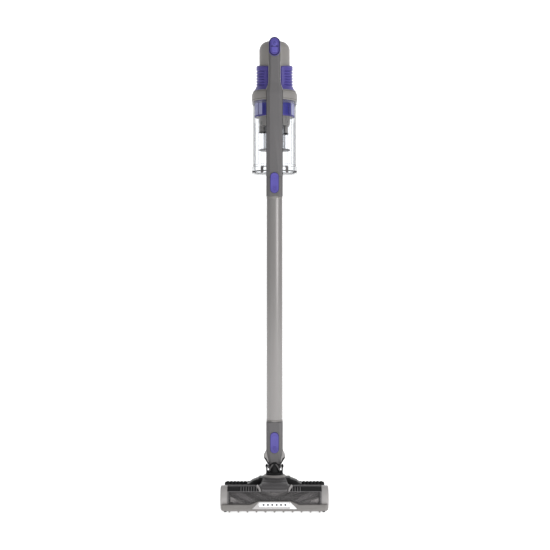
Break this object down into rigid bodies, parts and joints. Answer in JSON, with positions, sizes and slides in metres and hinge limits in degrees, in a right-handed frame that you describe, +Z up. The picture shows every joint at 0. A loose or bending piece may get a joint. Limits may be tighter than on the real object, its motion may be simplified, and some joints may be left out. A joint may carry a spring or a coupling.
{
  "type": "cordless stick vacuum",
  "caption": "Upright cordless stick vacuum: brush head on a tilting, swivelling neck, straight wand, and hand vacuum with clear dust cup, motor dome and bar grip.",
  "frame": {"origin": "Middle of the bounding box on the floor, under the upright machine.", "axes": "+Z up along the wand, front of the floor head towards -Y, machine's left end cap with the belt towards -X."},
  "size_m": [0.26, 0.234, 1.157],
  "materials": {
    "dark_grey": "satin moulded",
    "mid_grey": "satin moulded",
    "light_grey": "satin moulded",
    "black_plastic": "fine grain moulded",
    "purple": "semi gloss",
    "clear_cup": "clear, polished",
    "smoked_window": "clear smoked, polished",
    "silver_trim": "metallic painted",
    "lens_white": "diffusing lens",
    "rubber_black": "matt",
    "steel": "turned",
    "tube_paint": "satin metallic paint",
    "foam": "open foam",
    "pleated_paper": "pleated",
    "board_green": "solder mask",
    "cell_wrap": "shrink wrap",
    "bristle": "nylon tufts"
  },
  "bodies": {
    "head": {"sole_plate": "black_plastic", "head_shell": "black_plastic", "brush_window": "smoked_window", "center_cover": "dark_grey", "end_cap_left": "light_grey", "end_cap_right": "light_grey", "front_bumper": "mid_grey", "headlight_bezel": "silver_trim", "headlight_lens": "lens_white", "sole_strip": "rubber_black", "suction_duct": "mid_grey", "brush_motor": "steel", "drive_belt": "rubber_black", "brush_bearings": "steel", "wheel_axles": "steel", "head_screws": "steel", "neck_base": "light_grey"},
    "brushroll": {"brush_core": "dark_grey", "brush_bristles": "bristle"},
    "drive_pulley": {"motor_pulley": "dark_grey"},
    "rear_wheel_left": {"wheel_left": "rubber_black"},
    "rear_wheel_right": {"wheel_right": "rubber_black"},
    "front_roller_left": {"roller_left": "dark_grey"},
    "front_roller_right": {"roller_right": "dark_grey"},
    "swivel": {"swivel_yoke": "black_plastic", "yoke_pins": "steel", "neck_hose": "rubber_black"},
    "neck": {"neck_collar": "dark_grey", "neck_plug": "mid_grey"},
    "neck_release": {"neck_button": "purple"},
    "wand": {"wand_tube": "tube_paint", "wand_conduit": "black_plastic", "wand_collar": "dark_grey", "wand_plug": "mid_grey"},
    "wand_release": {"wand_button": "purple"},
    "hand_vacuum": {"spine_shell": "dark_grey", "grip_pad": "rubber_black", "button_plate": "purple", "motor_housing": "mid_grey", "grip_left": "purple", "grip_right": "purple", "motor_can": "steel", "control_board": "board_green", "exhaust_filter": "pleated_paper", "motor_filter": "foam", "mesh_shroud": "purple", "cyclone_cone": "mid_grey", "vortex_tube": "clear_cup", "inlet_duct": "dark_grey"},
    "power_key": {"power_button": "purple"},
    "boost_key": {"boost_button": "purple"},
    "fan": {"impeller": "steel"},
    "cup": {"dust_cup": "clear_cup", "door_pin": "steel"},
    "cup_release": {"cup_button": "dark_grey"},
    "door": {"cup_door": "clear_cup"},
    "latch": {"door_latch": "dark_grey"},
    "battery": {"battery_pack": "dark_grey", "battery_cells": "cell_wrap"},
    "battery_release": {"battery_latch": "purple"}
  },
  "joints": [
    {"name": "brush_spin", "type": "hinge", "parent": "head", "child": "brushroll", "pos_m": [0, -0.082, 0.031], "axis": [1, 0, 0], "continuous": true},
    {"name": "pulley_spin", "type": "hinge", "parent": "head", "child": "drive_pulley", "pos_m": [0, -0.033, 0.027], "axis": [1, 0, 0], "continuous": true},
    {"name": "rear_wheel_left_roll", "type": "hinge", "parent": "head", "child": "rear_wheel_left", "pos_m": [-0.086, 0.004, 0.014], "axis": [1, 0, 0], "continuous": true},
    {"name": "rear_wheel_right_roll", "type": "hinge", "parent": "head", "child": "rear_wheel_right", "pos_m": [0.086, 0.004, 0.014], "axis": [1, 0, 0], "continuous": true},
    {"name": "front_roller_left_roll", "type": "hinge", "parent": "head", "child": "front_roller_left", "pos_m": [-0.118, -0.104, 0.006], "axis": [1, 0, 0], "continuous": true},
    {"name": "front_roller_right_roll", "type": "hinge", "parent": "head", "child": "front_roller_right", "pos_m": [0.118, -0.104, 0.006], "axis": [1, 0, 0], "continuous": true},
    {"name": "neck_swivel", "type": "hinge", "parent": "head", "child": "swivel", "pos_m": [0, -0.025, 0.0783], "axis": [0, 0, 1], "range_deg": [-60, 60]},
    {"name": "neck_recline", "type": "hinge", "parent": "swivel", "child": "neck", "pos_m": [0, -0.025, 0.098], "axis": [-1, 0, 0], "range_deg": [0, 85], "deforming": ["neck_hose"]},
    {"name": "neck_button_press", "type": "slide", "parent": "neck", "child": "neck_release", "axis": [0, 1, 0], "range_m": [0, 0.0025], "stiffness_N_per_m": 400},
    {"name": "wand_pull", "type": "slide", "parent": "neck", "child": "wand", "axis": [0, 0, 1], "range_m": [0, 0.045]},
    {"name": "wand_button_press", "type": "slide", "parent": "wand", "child": "wand_release", "axis": [0, 1, 0], "range_m": [0, 0.0025], "stiffness_N_per_m": 400},
    {"name": "hand_vacuum_pull", "type": "slide", "parent": "wand", "child": "hand_vacuum", "axis": [0, 0, 1], "range_m": [0, 0.045]},
    {"name": "power_button_press", "type": "slide", "parent": "hand_vacuum", "child": "power_key", "axis": [0, 1, 0], "range_m": [0, 0.0015], "stiffness_N_per_m": 400},
    {"name": "boost_button_press", "type": "slide", "parent": "hand_vacuum", "child": "boost_key", "axis": [0, 1, 0], "range_m": [0, 0.0015], "stiffness_N_per_m": 400},
    {"name": "impeller_spin", "type": "hinge", "parent": "hand_vacuum", "child": "fan", "pos_m": [0, 0.057, 1.036], "axis": [0, 0, 1], "continuous": true},
    {"name": "cup_slide", "type": "slide", "parent": "hand_vacuum", "child": "cup", "axis": [0, 0, -1], "range_m": [0, 0.12]},
    {"name": "cup_button_press", "type": "slide", "parent": "hand_vacuum", "child": "cup_release", "axis": [0, -1, 0], "range_m": [0, 0.0024], "stiffness_N_per_m": 400},
    {"name": "cup_door_swing", "type": "hinge", "parent": "cup", "child": "door", "pos_m": [0, 0.1135, 0.8248], "axis": [1, 0, 0], "range_deg": [0, 100]},
    {"name": "door_latch_tilt", "type": "hinge", "parent": "cup", "child": "latch", "pos_m": [0, -0.0028, 0.838], "axis": [-1, 0, 0], "range_deg": [0, 12], "stiffness_Nm_per_rad": 0.1},
    {"name": "battery_slide", "type": "slide", "parent": "hand_vacuum", "child": "battery", "axis": [0, 1, 0], "range_m": [0, 0.04]},
    {"name": "battery_latch_press", "type": "slide", "parent": "battery", "child": "battery_release", "axis": [0, -1, 0], "range_m": [0, 0.002], "stiffness_N_per_m": 400}
  ],
  "couplings": [
    {"joint": "pulley_spin", "follows": "brush_spin", "ratio": 2.6667}
  ]
}
